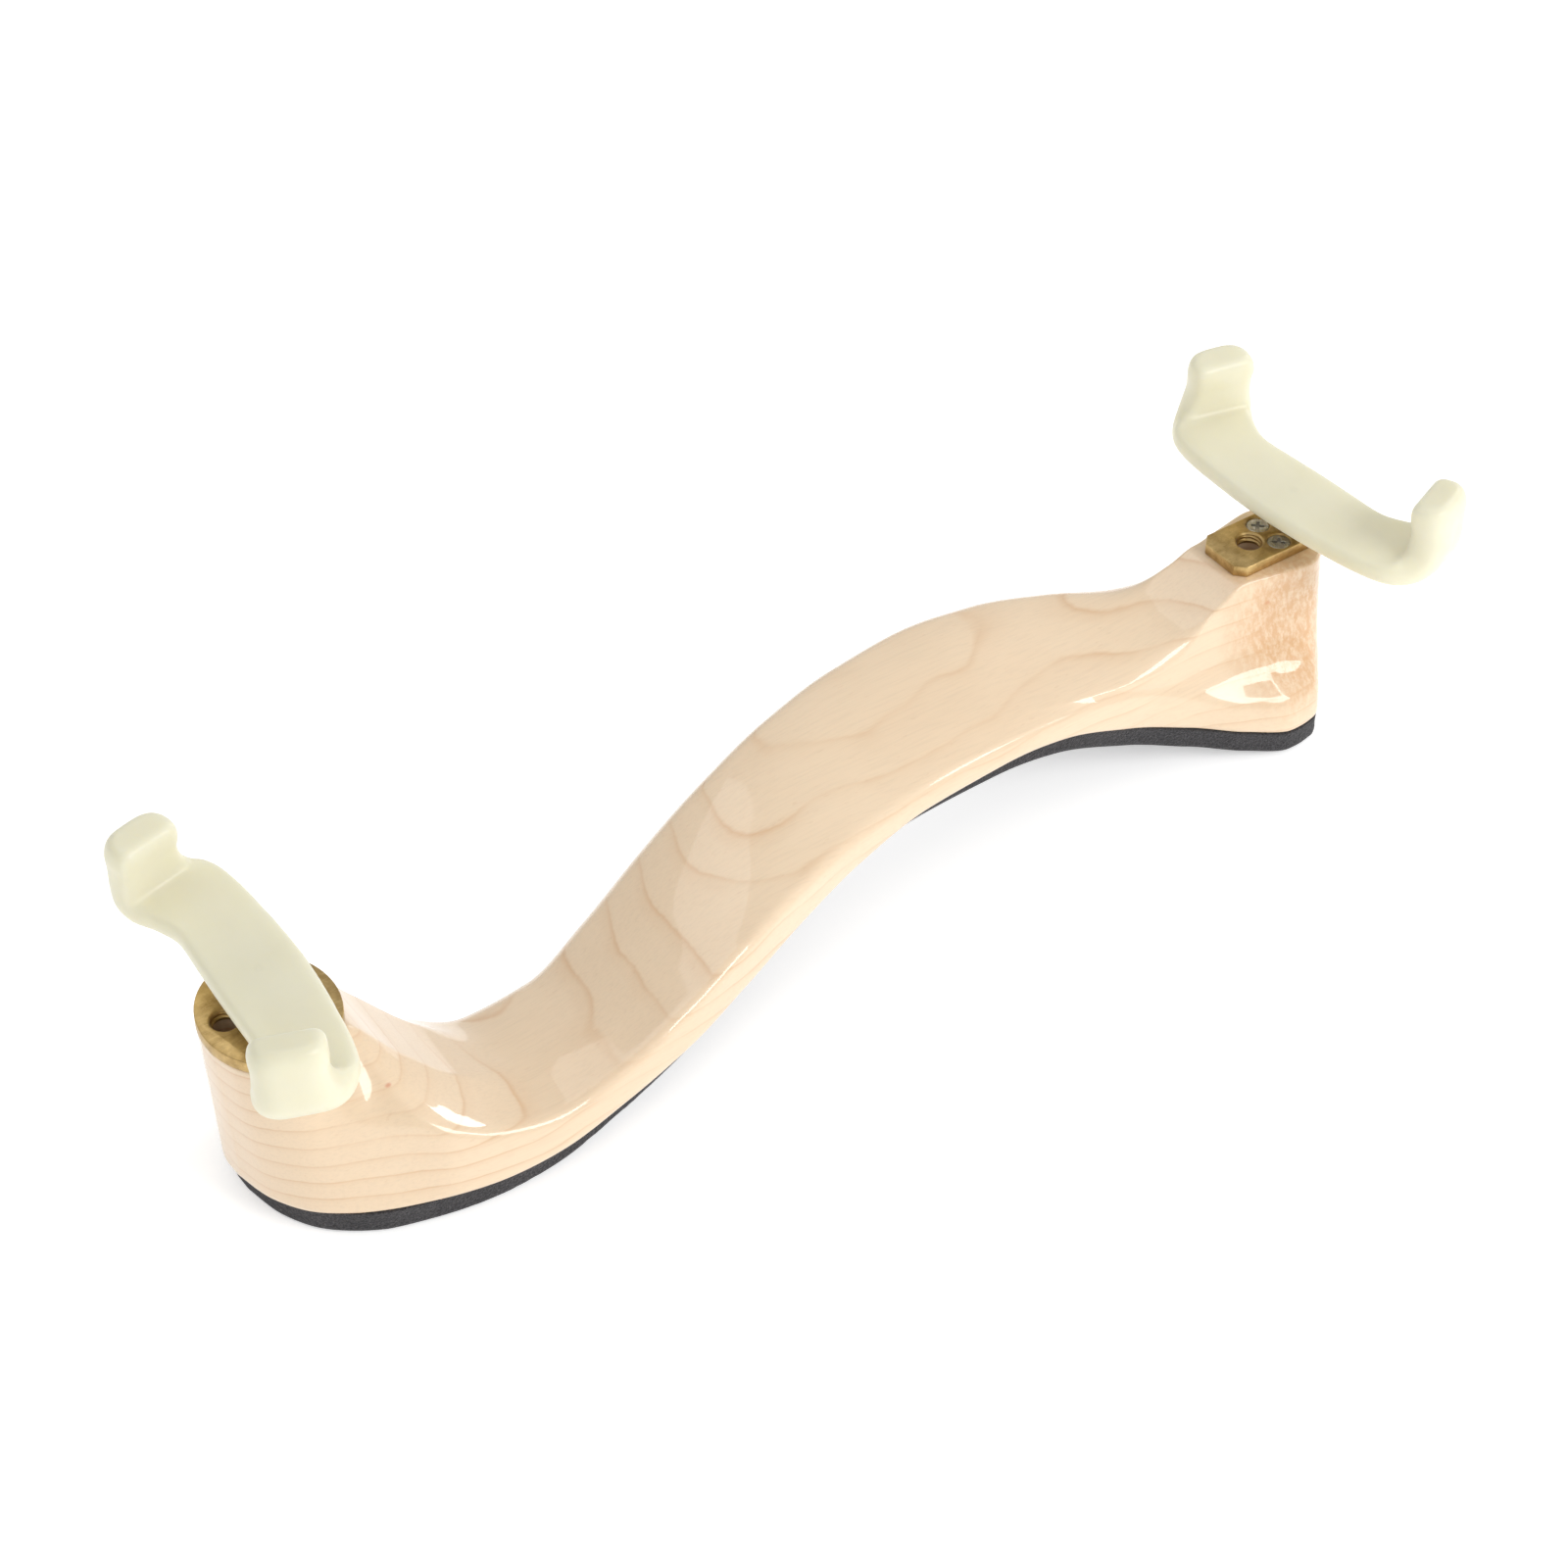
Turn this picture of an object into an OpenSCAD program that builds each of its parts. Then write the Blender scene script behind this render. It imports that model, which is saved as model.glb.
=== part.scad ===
// Violin shoulder rest: a carved maple bar with a foam pad under it and, at each end, a brass plate
// that a forked foot screws into. Millimetres. X runs along the bar, +Y to the far side, Z is up,
// and the pad stands on Z = 0.

/* [Bar] */
// Distance between the two studs when both feet sit in the holes shown
foot_span = 190; // [180:0.5:230]
// Width of the bar between its posts
bar_w = 28; // [24:0.5:34]
// Height of the two brass plates' top faces above the table
plate_top = 31.2; // [26:0.1:38]
// Wood that shows beside the right plate
ledge = 1.8; // [0.8:0.1:3]
// How much further the blind bores go than the studs in the heights shown
bore_spare = 4.5; // [2:0.5:6]
// Radial clearance round a stud in the wood
bore_gap = 0.3; // [0.1:0.05:0.8]

/* [Pad] */
// Thickness of the foam pad
pad_t = 4; // [2.5:0.1:6]
// How far the pad's edge stays inside the wood's edge
pad_inset = 0.3; // [0.2:0.1:2]
// How much further inside it is at the waist, near the middle of the bar
pad_waist = 3; // [0:0.1:5]
// How far the pad's left end stops short of the wood's end
pad_tuck = 1.4; // [0:0.1:6]
// Space that the adhesive takes between the pad and the wood
glue_gap = 0.05; // [0.02:0.01:0.2]

/* [Brass plates] */
// Thickness of both brass plates
plate_t = 2; // [1.6:0.1:2.6]
// Distance from the left free hole to the oval left plate's outer end
left_margin = 4.1; // [3.4:0.1:6]
// Width of the oval left plate
left_plate_w = 23; // [18:0.1:27]
// Distance from the right free hole to the right plate's inner end
right_inner = 6.2; // [5:0.1:8]
// Distance from the right stud to the right plate's outer end
right_outer = 3.6; // [3:0.1:5]
// Brass between the countersink of a screw and the right plate's long edge
screw_rim = 0.36; // [0.2:0.02:1.2]
// Corner cut at the inner end of the right plate
right_plate_cut = 1.6; // [0.5:0.1:2.5]
// Corner radius at the outer end of the right plate
right_plate_r = 3; // [1:0.5:4]
// Distance from the left foot's hole to the free tapped hole beside it
left_pitch = 6.2; // [5.4:0.1:8]
// Distance from the right foot's hole to the free tapped hole beside it
right_pitch = 8.8; // [8.4:0.1:11]
// Width of the countersink round each tapped hole
hole_sink = 0.3; // [0.2:0.05:0.4]

/* [Plate screws] */
// Shank diameter of the wood screws that hold the plates
screw_d = 2.2; // [1.8:0.1:2.6]
// Head diameter of the wood screws
screw_head_d = 3.6; // [3.2:0.1:4]
// Length of the wood screws, head included
screw_l = 11; // [8:0.5:14]
// Distance between the two screws of a plate, across the bar
screw_pitch = 5.2; // [4.5:0.1:6.4]
// Distance from the left stud to the screws of its plate, along the bar
left_screws = 4.8; // [4:0.1:5.6]
// Depth of a screw's head below the plate's face
screw_sunk = 0.3; // [0.1:0.05:0.5]
// Clearance round a screw in its plate and pilot hole
screw_fit = 0.04; // [0.02:0.01:0.1]

/* [Feet] */
// Thread diameter of the two foot studs
stud_d = 4; // [3.6:0.1:4.4]
// Radial clearance of a stud in its tapped hole
stud_fit = 0.05; // [0.02:0.01:0.1]
// Length of the stud below its foot
stud_l = 17; // [15:0.5:17.5]
// Diameter of the stud's head inside the foot
stud_head_d = 8; // [7:0.2:9]
// Thickness of the stud's head inside the foot
stud_head_t = 1.4; // [1:0.1:1.8]
// Running clearance between a stud's head and the foot that turns with it
head_fit = 0.05; // [0.02:0.01:0.1]
// Gap between a foot's underside and its plate
foot_gap = 2; // [1.8:0.1:4]
// Distance from the middle of a foot to the outside of a prong
foot_half_l = 27.4; // [25:0.2:34]
// How far a foot's ends bow away from the middle of the bar
foot_bow = 6.6; // [4:0.2:8.6]
// Width of a foot at its middle
foot_w = 14; // [12:0.2:16]
// Thickness of a foot at its middle
foot_t = 4.5; // [4:0.1:5.4]
// Height of the prongs' tips above the foot's top face
prong_h = 10.2; // [8:0.2:17]
// Turn of the left foot on its stud
left_turn = -4; // [-30:1:30]
// Turn of the right foot on its stud
right_turn = 5; // [-30:1:30]

/* [Hidden] */

seat = plate_top - plate_t;
foot_bottom = plate_top + foot_gap;
foot_top = foot_bottom + foot_t;

left_stud_x = -foot_span / 2;
right_stud_x = foot_span / 2;
left_free_x = left_stud_x - left_pitch;
right_free_x = right_stud_x - right_pitch;
left_screw_x = left_stud_x + left_screws;
right_screw_x = (right_stud_x + right_free_x) / 2 - 0.4;

// Flare from a sunk screw's head to the plate's face
head_flare = 0.3;

// Middle of the left plate, and the right plate's two ends
left_plate_x = left_stud_x - 0.1;
left_plate_y = -1.6;
left_plate_l = 2 * (left_plate_x - left_free_x + left_margin);
right_plate_inner = right_free_x - right_inner;
right_plate_outer = right_stud_x + right_outer;
right_plate_w = screw_pitch + screw_head_d + 2 * (screw_fit + head_flare + screw_rim);

// The stations below are drawn for this span, width and post height
SPAN_0 = 190;
WIDTH_0 = 28;
POST_0 = 24.5;
// The posts begin this far from the middle, the right one with its plate's inner end
POST_X = 80;
RIGHT_PLATE_0 = 18.6;

function along(x) = x + (foot_span - SPAN_0) / 2 * max(-1, min(1, x / POST_X));
function across(x, y) = y * (1 + (bar_w / WIDTH_0 - 1) * max(0, min(1, (POST_X - abs(x)) / 20)));
function up(z) = pad_t + z * (seat - pad_t) / POST_0;

// Each station is a ring round the bar: [x of the lower edges, x of the top, near y, far y,
// near bottom z, far bottom z, near shoulder z, far shoulder z, top's near y, top's far y,
// top's near z, top's far z, share of the way in from the edge to the top where the shoulder is,
// share of the near face's slope that is hollowed], with heights over the wood's lowest point
function left_end(a, x, near, far, z, near_z, far_z, share) =
    let (
        top_x = left_plate_x + (foot_span - SPAN_0) / 2 - left_plate_l / 2 * cos(a),
        half = left_plate_w / 2 * sin(a)
    )
    [x, top_x, near, far, z, z, near_z, far_z, left_plate_y - half, left_plate_y + half,
     POST_0, POST_0, share, 0];
function right_x(x) =
    right_plate_inner - (foot_span - SPAN_0) / 2
        + (x - POST_X) * (right_plate_outer - right_plate_inner) / RIGHT_PLATE_0;
function right_end(x, top_x, half, far, z, near_z, top_half, hollow) =
    [right_x(x), right_x(top_x), -half, far, z, z, near_z, near_z, -top_half, top_half,
     POST_0, POST_0, 0.06, hollow];
right_half = right_plate_w / 2 + ledge;

STATIONS = [
    left_end(8, -104.0, -4.4, 0.6, 0, 13.5, 13.5, 0.55),
    left_end(28, -102.8, -9.9, 3.8, 0, 13.5, 13.5, 0.55),
    left_end(50, -99.5, -15.9, 7.4, 0, 13.5, 13.5, 0.55),
    left_end(75, -95.1, -19.7, 10.2, 0, 13.5, 13.5, 0.5),
    left_end(110, -90.0, -22.5, 11.4, 0, 14, 14, 0.4),
    left_end(140, -84.6, -24.5, 11.0, 0, 14, 12.5, 0.2),
    [ -79,  -80, -26.1,  9.0,  0.0,  0.0, 11.7,  9.6, -12.0,  3.0, 17.2, 17.2, 0.06, 0],
    [ -72,  -72, -27.4,  5.6,  0.2,  0.0,  9.0,  6.6, -15.5, -2.0, 11.0, 10.4, 0.06, 0],
    [ -63,  -63, -28.0,  2.2,  1.2,  0.2,  7.9,  4.6, -17.0, -6.5,  8.2,  6.9, 0.06, 0],
    [ -52,  -52, -27.3,  1.8,  3.6,  1.2, 10.1,  5.8, -17.0, -7.0,  9.6,  7.8, 0.06, 0],
    [ -40,  -40, -25.8,  4.3,  6.4,  4.6, 13.8, 10.0, -15.5, -5.0, 13.1, 11.8, 0.06, 0],
    [ -28,  -28, -22.6,  7.4,  9.0,  8.8, 16.3, 15.0, -12.5, -2.0, 16.5, 16.5, 0.06, 0],
    [ -15,  -15, -18.2, 10.6, 11.0, 12.8, 17.4, 19.5,  -8.0,  1.5, 19.1, 20.2, 0.06, 0],
    [   0,    0, -13.6, 14.5, 12.5, 15.0, 17.8, 22.4,  -4.5,  5.5, 20.5, 22.6, 0.06, 0],
    [  15,   15, -10.6, 17.4, 13.4, 16.2, 17.6, 23.6,  -2.5,  8.5, 20.6, 23.6, 0.06, 0],
    [  30,   30,  -9.4, 19.0, 13.4, 16.0, 17.2, 23.6,  -3.0,  9.5, 19.9, 23.6, 0.06, 0],
    [  43,   43,  -8.7, 18.6, 11.9, 14.0, 16.2, 22.4,  -5.6,  9.0, 18.2, 22.4, 0.06, 0],
    [  56,   56,  -9.0, 15.6,  7.8,  9.4, 13.6, 20.8,  -7.2,  7.5, 17.2, 21.0, 0.06, 0.06],
    [  67,   67, -11.0, 12.4,  4.0,  4.8,  9.6, 18.0,  -7.0,  6.6, 18.7, 21.1, 0.06, 0.14],
    [  76,   75, -15.0, 12.5,  1.5,  1.8,  6.8, 13.5,  -6.3,  6.2, 22.2, 22.9, 0.06, 0.2],
    right_end(83.3, 80, 17.8, 14.0, 0.3, 6.1, right_half - 0.6, 0.2),
    right_end(88.6, 86.5, 17.0, 14.4, 0, 6.0, right_half + 0.5, 0.18),
    right_end(92.7, 92.5, 12.8, 12.0, 0, 6.0, right_half + 1.4, 0.1),
    right_end(96.4, 97.2, 7.2, 7.0, 0.2, 6.2, right_half - 1.4, 0.04),
    right_end(98.0, 99.4, 2.4, 2.4, 0.9, 6.9, right_half - 5, 0)];
STEPS = 3;

// One foot from its middle to a prong's tip, each row [distance along the foot, height over its
// middle plane, bow, width, thickness, outward turn], drawn for the sizes in FOOT_0
FOOT_0 = [27.4, 10.2, 6.8, 14, 4.5];
FOOT_PATH = [
    [ 0.0,  0.0, 0.0, 14.0, 4.5,  0],
    [ 7.0,  0.0, 0.1, 13.6, 4.5,  1],
    [13.0,  0.0, 0.4, 13.0, 4.5,  4],
    [18.0,  0.0, 1.6, 14.0, 4.6,  9],
    [21.8,  0.1, 3.4, 15.0, 5.0, 13],
    [24.2,  1.3, 5.2, 14.0, 5.6, 16],
    [24.9,  3.9, 6.4, 11.8, 5.8, 17],
    [24.8,  7.2, 6.8, 10.8, 5.8, 17],
    [24.6,  9.6, 6.8, 11.2, 6.2, 17],
    [24.3, 11.5, 6.6, 10.6, 5.8, 17],
    [24.2, 12.4, 6.5,  8.8, 4.2, 17]];
FOOT_STEPS = 4;

function tangent(a, b) = a * b > 0 ? 2 * a * b / (a + b) : 0;
function hermite(p, m, q, n, t) =
    p * (1 + 2 * t) * pow(1 - t, 2) + m * t * pow(1 - t, 2) + q * t * t * (3 - 2 * t) - n * t * t * (1 - t);
// Column k of a table at the fractional row u, smooth and without overshoot
function rail(rows, k, u) =
    let (
        last = len(rows) - 1,
        i = min(floor(u), last - 1),
        here = rows[i + 1][k] - rows[i][k],
        before = i > 0 ? rows[i][k] - rows[i - 1][k] : here,
        after = i < last - 1 ? rows[i + 2][k] - rows[i + 1][k] : here
    )
    hermite(rows[i][k], tangent(before, here), rows[i + 1][k], tangent(here, after), u - i);

function bend(a, b, c, t) = a * pow(1 - t, 2) + b * 2 * t * (1 - t) + c * t * t;
// One corner of a ring, rounded over the distance r on each side of it
function soft_corner(before, p, after, r, n) =
    let (
        f = min(0.49, r / max(0.01, norm(before - p))),
        g = min(0.49, r / max(0.01, norm(after - p)))
    )
    [for (j = [0:n]) bend(p + (before - p) * f, p, p + (after - p) * g, j / n)];
function soft_ring(corners, radii, n) =
    let (m = len(corners))
    [for (i = [0:m - 1])
        each soft_corner(corners[(i + m - 1) % m], corners[i], corners[(i + 1) % m], radii[i], n)];

function total(v, i = 0) = i == len(v) - 1 ? v[i] : v[i] + total(v, i + 1);

// Closed skin over rings that all have the same number of points. Its walls are split along one
// diagonal or the other, so that two skins that face each other can match.
module skin(rings, other = false) {
    n = len(rings[0]);
    m = len(rings);
    centres = [total(rings[0]) / n, total(rings[m - 1]) / n];
    walls = [for (i = [0:m - 2], j = [0:n - 1])
        let (a = i * n + j, b = i * n + (j + 1) % n)
            each other ? [[a, a + n, b], [b, a + n, b + n]] : [[a, b + n, b], [a, a + n, b + n]]];
    ends = [for (j = [0:n - 1])
        let (k = (j + 1) % n) each [[m * n, j, k], [m * n + 1, (m - 1) * n + k, (m - 1) * n + j]]];
    polyhedron(concat([for (r = rings) each r], centres), concat(walls, ends));
}

function place(x, y, z) = [along(x), across(x, y), up(z)];
function station(u) = [for (k = [0:13]) rail(STATIONS, k, u)];
bar_turns = [for (u = [0:1 / STEPS:len(STATIONS) - 1]) u];

// How far a station is from both posts, 0 on a post and 1 in the open
function in_open(x) = max(0, min(1, (POST_X - 8 - abs(x)) / 22));

function bar_ring(u) =
    let (
        v = station(u),
        x_mid = v[0] + (v[1] - v[0]) * v[12],
        near_y = v[2] + (v[8] - v[2]) * v[12],
        far_y = v[3] + (v[9] - v[3]) * v[12],
        top_r = 0.6 + 9 * in_open(v[1])
    )
    soft_ring([
        place(v[0], v[2], v[4]),
        place(v[0], v[3], v[5]),
        place(x_mid, far_y, v[7]),
        place(v[1], v[9], v[11]),
        place(v[1], v[8], v[10]),
        place((x_mid + v[1]) / 2, near_y + (v[8] - near_y) * (0.5 + v[13]),
            v[6] + (v[10] - v[6]) * (0.5 - v[13])),
        place(x_mid, near_y, v[6])], [1.5, 1.5, 3, top_r, top_r, 9, 2], 5);

// The pad follows the wood's underside inside its edge, furthest in at its waist
WAIST_X = 12;
WAIST_L = 78;
function pad_ring(u) =
    let (
        v = station(u),
        x = v[0] + pad_tuck * max(0, -90 - v[0]) / 14.4,
        near = place(x, v[2], v[4]),
        far = place(x, v[3], v[5]),
        waist = cos(90 * max(-1, min(1, (v[0] + WAIST_X) / WAIST_L))),
        inward = (far - near) / norm(far - near) * (pad_inset + pad_waist * waist),
        top = [0, 0, -glue_gap],
        bottom = [0, 0, -pad_t]
    )
    soft_ring([near + inward + bottom, far - inward + bottom, far - inward + top, near + inward + top],
        [1, 1, 0.2, 0.2], 2);

module maple_bar() {
    bore_bottom = foot_bottom - stud_l - bore_spare;
    color("BurlyWood") difference() {
        skin([for (u = bar_turns) bar_ring(u)]);
        for (x = [left_stud_x, left_free_x, right_stud_x, right_free_x])
            translate([x, 0, bore_bottom])
                cylinder(d = stud_d + 2 * bore_gap, h = seat + 1 - bore_bottom, $fn = 48);
        at_left_screws() screw_space();
        at_right_screws() screw_space();
    }
}

module foam_pad() {
    color("DimGray") skin([for (u = bar_turns) pad_ring(u)], other = true);
}

// A foot lies along Y with its stud's axis at the origin, and bows towards +X
foot_scale = [foot_half_l / FOOT_0[0], prong_h / FOOT_0[1], foot_bow / FOOT_0[2], foot_w / FOOT_0[3],
    foot_t / FOOT_0[4], 1];
function foot_value(k, u) = rail(FOOT_PATH, k, abs(u)) * foot_scale[k];
function foot_side(u) = u < 0 ? -1 : 1;
function foot_point(u) = [foot_value(2, u), foot_side(u) * foot_value(0, u), foot_value(1, u)];
function foot_ring(u) =
    let (
        last = len(FOOT_PATH) - 1,
        step = 0.05,
        turn = foot_side(u) * foot_value(5, u),
        tangent_dir = [sin(turn), cos(turn), 0],
        width_dir = [cos(turn), -sin(turn), 0],
        ahead = foot_point(min(last, u + step)) - foot_point(max(-last, u - step)),
        run = ahead * tangent_dir,
        normal = ([0, 0, run] - ahead[2] * tangent_dir) / norm([run, ahead[2]]),
        half_w = foot_value(3, u) / 2,
        half_t = foot_value(4, u) / 2,
        corner = function(i, j) foot_point(u) + i * half_w * width_dir + j * half_t * normal
    )
    soft_ring([corner(-1, 1), corner(1, 1), corner(1, -0.35), corner(0.62, -1), corner(-0.62, -1),
        corner(-1, -0.35)], [1.3, 1.3, 2, 2, 2, 2], 3);

module foot_blank() {
    last = len(FOOT_PATH) - 1;
    skin([for (u = [-last:1 / FOOT_STEPS:last]) foot_ring(u)]);
}

// A stud, and with a clearance the space for it in its foot
module stud_shape(gap = 0) {
    translate([0, 0, foot_top - foot_t / 2 - stud_head_t / 2 - gap])
        cylinder(d = stud_head_d + 2 * gap, h = stud_head_t + 2 * gap, $fn = 48);
    translate([0, 0, foot_bottom - stud_l])
        cylinder(d = stud_d + 2 * gap, h = stud_l + foot_t / 2, $fn = 48);
}

module foot(x, turn) {
    difference() {
        translate([x, 0, foot_top - foot_t / 2]) rotate([0, 0, turn]) foot_blank();
        translate([x, 0, 0]) stud_shape(head_fit);
    }
}

module left_foot() { color("Beige") foot(left_stud_x, 180 + left_turn); }
module right_foot() { color("Beige") foot(right_stud_x, right_turn); }
module left_stud() { color("Silver") translate([left_stud_x, 0, 0]) stud_shape(); }
module right_stud() { color("Silver") translate([right_stud_x, 0, 0]) stud_shape(); }

module at_left_screws() {
    for (side = [-1, 1]) translate([left_screw_x, side * screw_pitch / 2, 0]) children();
}
module at_right_screws() {
    for (side = [-1, 1]) translate([right_screw_x, side * screw_pitch / 2, 0]) children();
}

// Profile of a wood screw, grown by a clearance
module screw_profile(gap) {
    top = plate_top - screw_sunk;
    tip = top - screw_l;
    cone = (screw_head_d - screw_d) / 2;
    polygon([
        [0, top + gap], [screw_head_d / 2 + gap, top + gap], [screw_head_d / 2 + gap, top - 0.3],
        [screw_d / 2 + gap, top - 0.3 - cone], [screw_d / 2 + gap, tip + 2], [0, tip - gap]]);
}
module screw_space() {
    rotate_extrude($fn = 48) screw_profile(screw_fit);
}
module plate_screw() {
    difference() {
        rotate_extrude($fn = 48) screw_profile(0);
        for (a = [45, 135])
            translate([0, 0, plate_top - screw_sunk]) rotate([0, 0, a]) cube([2.2, 0.55, 1.8], center = true);
    }
}

module tapped_hole(x) {
    bore = stud_d + 2 * stud_fit;
    translate([x, 0, seat - 1]) cylinder(d = bore, h = plate_t + 2, $fn = 48);
    translate([x, 0, plate_top - hole_sink])
        cylinder(d1 = bore, d2 = bore + 2 * hole_sink + 0.02, h = hole_sink + 0.01, $fn = 48);
}
// Space over a sunk screw head, up through the plate's face
module sunk_head() {
    screw_space();
    translate([0, 0, plate_top - screw_sunk])
        cylinder(d1 = screw_head_d + 2 * screw_fit, d2 = screw_head_d + 2 * (screw_fit + head_flare),
            h = screw_sunk + 0.01, $fn = 48);
}

module left_plate() {
    color("DarkKhaki") difference() {
        translate([left_plate_x, left_plate_y, seat]) linear_extrude(plate_t)
            polygon([for (a = [0:5:355]) [left_plate_l / 2 * cos(a), left_plate_w / 2 * sin(a)]]);
        tapped_hole(left_stud_x);
        tapped_hole(left_free_x);
        at_left_screws() sunk_head();
    }
}

function arc(x, y, r, from, to) = [for (a = [from:15:to]) [x + r * cos(a), y + r * sin(a)]];
module right_plate() {
    half = right_plate_w / 2;
    x = right_plate_outer - right_plate_r;
    y = half - right_plate_r;
    color("DarkKhaki") difference() {
        translate([0, 0, seat]) linear_extrude(plate_t) polygon(concat(
            [[right_plate_inner + right_plate_cut, half], [right_plate_inner, half - right_plate_cut],
             [right_plate_inner, right_plate_cut - half], [right_plate_inner + right_plate_cut, -half]],
            arc(x, -y, right_plate_r, -90, 0), arc(x, y, right_plate_r, 0, 90)));
        tapped_hole(right_stud_x);
        tapped_hole(right_free_x);
        at_right_screws() sunk_head();
    }
}

module left_plate_screws() { color("Silver") at_left_screws() plate_screw(); }
module right_plate_screws() { color("Silver") at_right_screws() plate_screw(); }

maple_bar();
foam_pad();
left_plate();
right_plate();
left_plate_screws();
right_plate_screws();
left_stud();
right_stud();
left_foot();
right_foot();
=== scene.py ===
"""Looks of the violin shoulder rest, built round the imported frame.

Everything is in metres in the frame of the CAD part: X along the bar, +Y to the far side, Z up,
and the foam pad stands on Z = 0. Tables that repeat the part's own shape are in millimetres.
"""

import math

import bmesh
import bpy
from mathutils import Matrix, Vector, noise


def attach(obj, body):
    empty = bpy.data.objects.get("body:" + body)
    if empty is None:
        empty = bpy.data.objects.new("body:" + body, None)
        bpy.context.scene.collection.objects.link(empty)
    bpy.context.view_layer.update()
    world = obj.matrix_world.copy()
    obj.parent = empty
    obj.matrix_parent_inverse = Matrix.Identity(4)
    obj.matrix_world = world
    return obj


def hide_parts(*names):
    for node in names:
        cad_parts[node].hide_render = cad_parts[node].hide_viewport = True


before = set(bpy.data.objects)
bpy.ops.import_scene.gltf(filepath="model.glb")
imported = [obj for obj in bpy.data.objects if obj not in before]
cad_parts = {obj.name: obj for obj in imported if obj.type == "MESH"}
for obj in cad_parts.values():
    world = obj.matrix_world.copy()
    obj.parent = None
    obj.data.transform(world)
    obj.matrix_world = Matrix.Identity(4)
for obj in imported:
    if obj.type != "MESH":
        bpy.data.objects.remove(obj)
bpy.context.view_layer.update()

MM = 0.001
FLOOR_HALF, FLOOR_Z = 3, -0.0002


# ---------------------------------------------------------------- camera, floor and light

def make_camera():
    """The photograph's view: a long lens from the front left, 42 degrees down."""
    azimuth, elevation = math.radians(-35.13), math.radians(41.99)
    back = Vector((math.sin(azimuth) * math.cos(elevation),
                   -math.cos(azimuth) * math.cos(elevation), math.sin(elevation)))
    right = Vector((math.cos(azimuth), math.sin(azimuth), 0))
    up = back.cross(right)
    data = bpy.data.cameras.new("camera")
    data.lens, data.sensor_width = 88.12, 36
    data.clip_start, data.clip_end = 0.05, 20
    camera = bpy.data.objects.new("camera", data)
    turn = Matrix((right, up, back)).transposed().to_4x4()
    camera.matrix_world = Matrix.Translation((-0.2544, -0.3539, 0.4155)) @ turn
    bpy.context.collection.objects.link(camera)
    bpy.context.scene.camera = camera


def make_light(name, toward, distance, width, height, watts):
    """A soft box that faces the middle of the bar from the direction given."""
    data = bpy.data.lights.new(name, "AREA")
    data.shape, data.size, data.size_y = "RECTANGLE", width, height
    data.energy = watts
    light = bpy.data.objects.new(name, data)
    direction = Vector(toward).normalized()
    light.location = Vector((0, 0, 0.02)) + direction * distance
    light.rotation_mode = "QUATERNION"
    light.rotation_quaternion = direction.to_track_quat("Z", "Y")
    bpy.context.collection.objects.link(light)


def make_studio():
    world = bpy.data.worlds.new("studio")
    world.use_nodes = True
    world.node_tree.nodes["Background"].inputs["Color"].default_value = (1, 1, 1, 1)
    world.node_tree.nodes["Background"].inputs["Strength"].default_value = 0.60
    bpy.context.scene.world = world
    bpy.context.scene.view_settings.view_transform = "Standard"
    make_light("window", (0.36, -0.74, 0.56), 0.9, 0.50, 0.30, 3.6)
    make_light("side_window", (0.86, 0.16, 0.50), 1.0, 0.22, 0.16, 1.1)
    make_light("overhead", (-0.15, 0.45, 0.9), 1.2, 0.8, 0.6, 1.5)
    make_light("front_fill", (-0.75, -0.55, 0.55), 1.2, 0.7, 0.5, 0.6)

    mesh = bpy.data.meshes.new("floor")
    corners = [(x * FLOOR_HALF, y * FLOOR_HALF, FLOOR_Z) for x, y in ((-1, -1), (1, -1), (1, 1), (-1, 1))]
    mesh.from_pydata(corners, [], [(0, 1, 2, 3)])
    floor = bpy.data.objects.new("floor", mesh)
    bpy.context.collection.objects.link(floor)
    mesh.materials.append(floor_material())


# ---------------------------------------------------------------- materials

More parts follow.
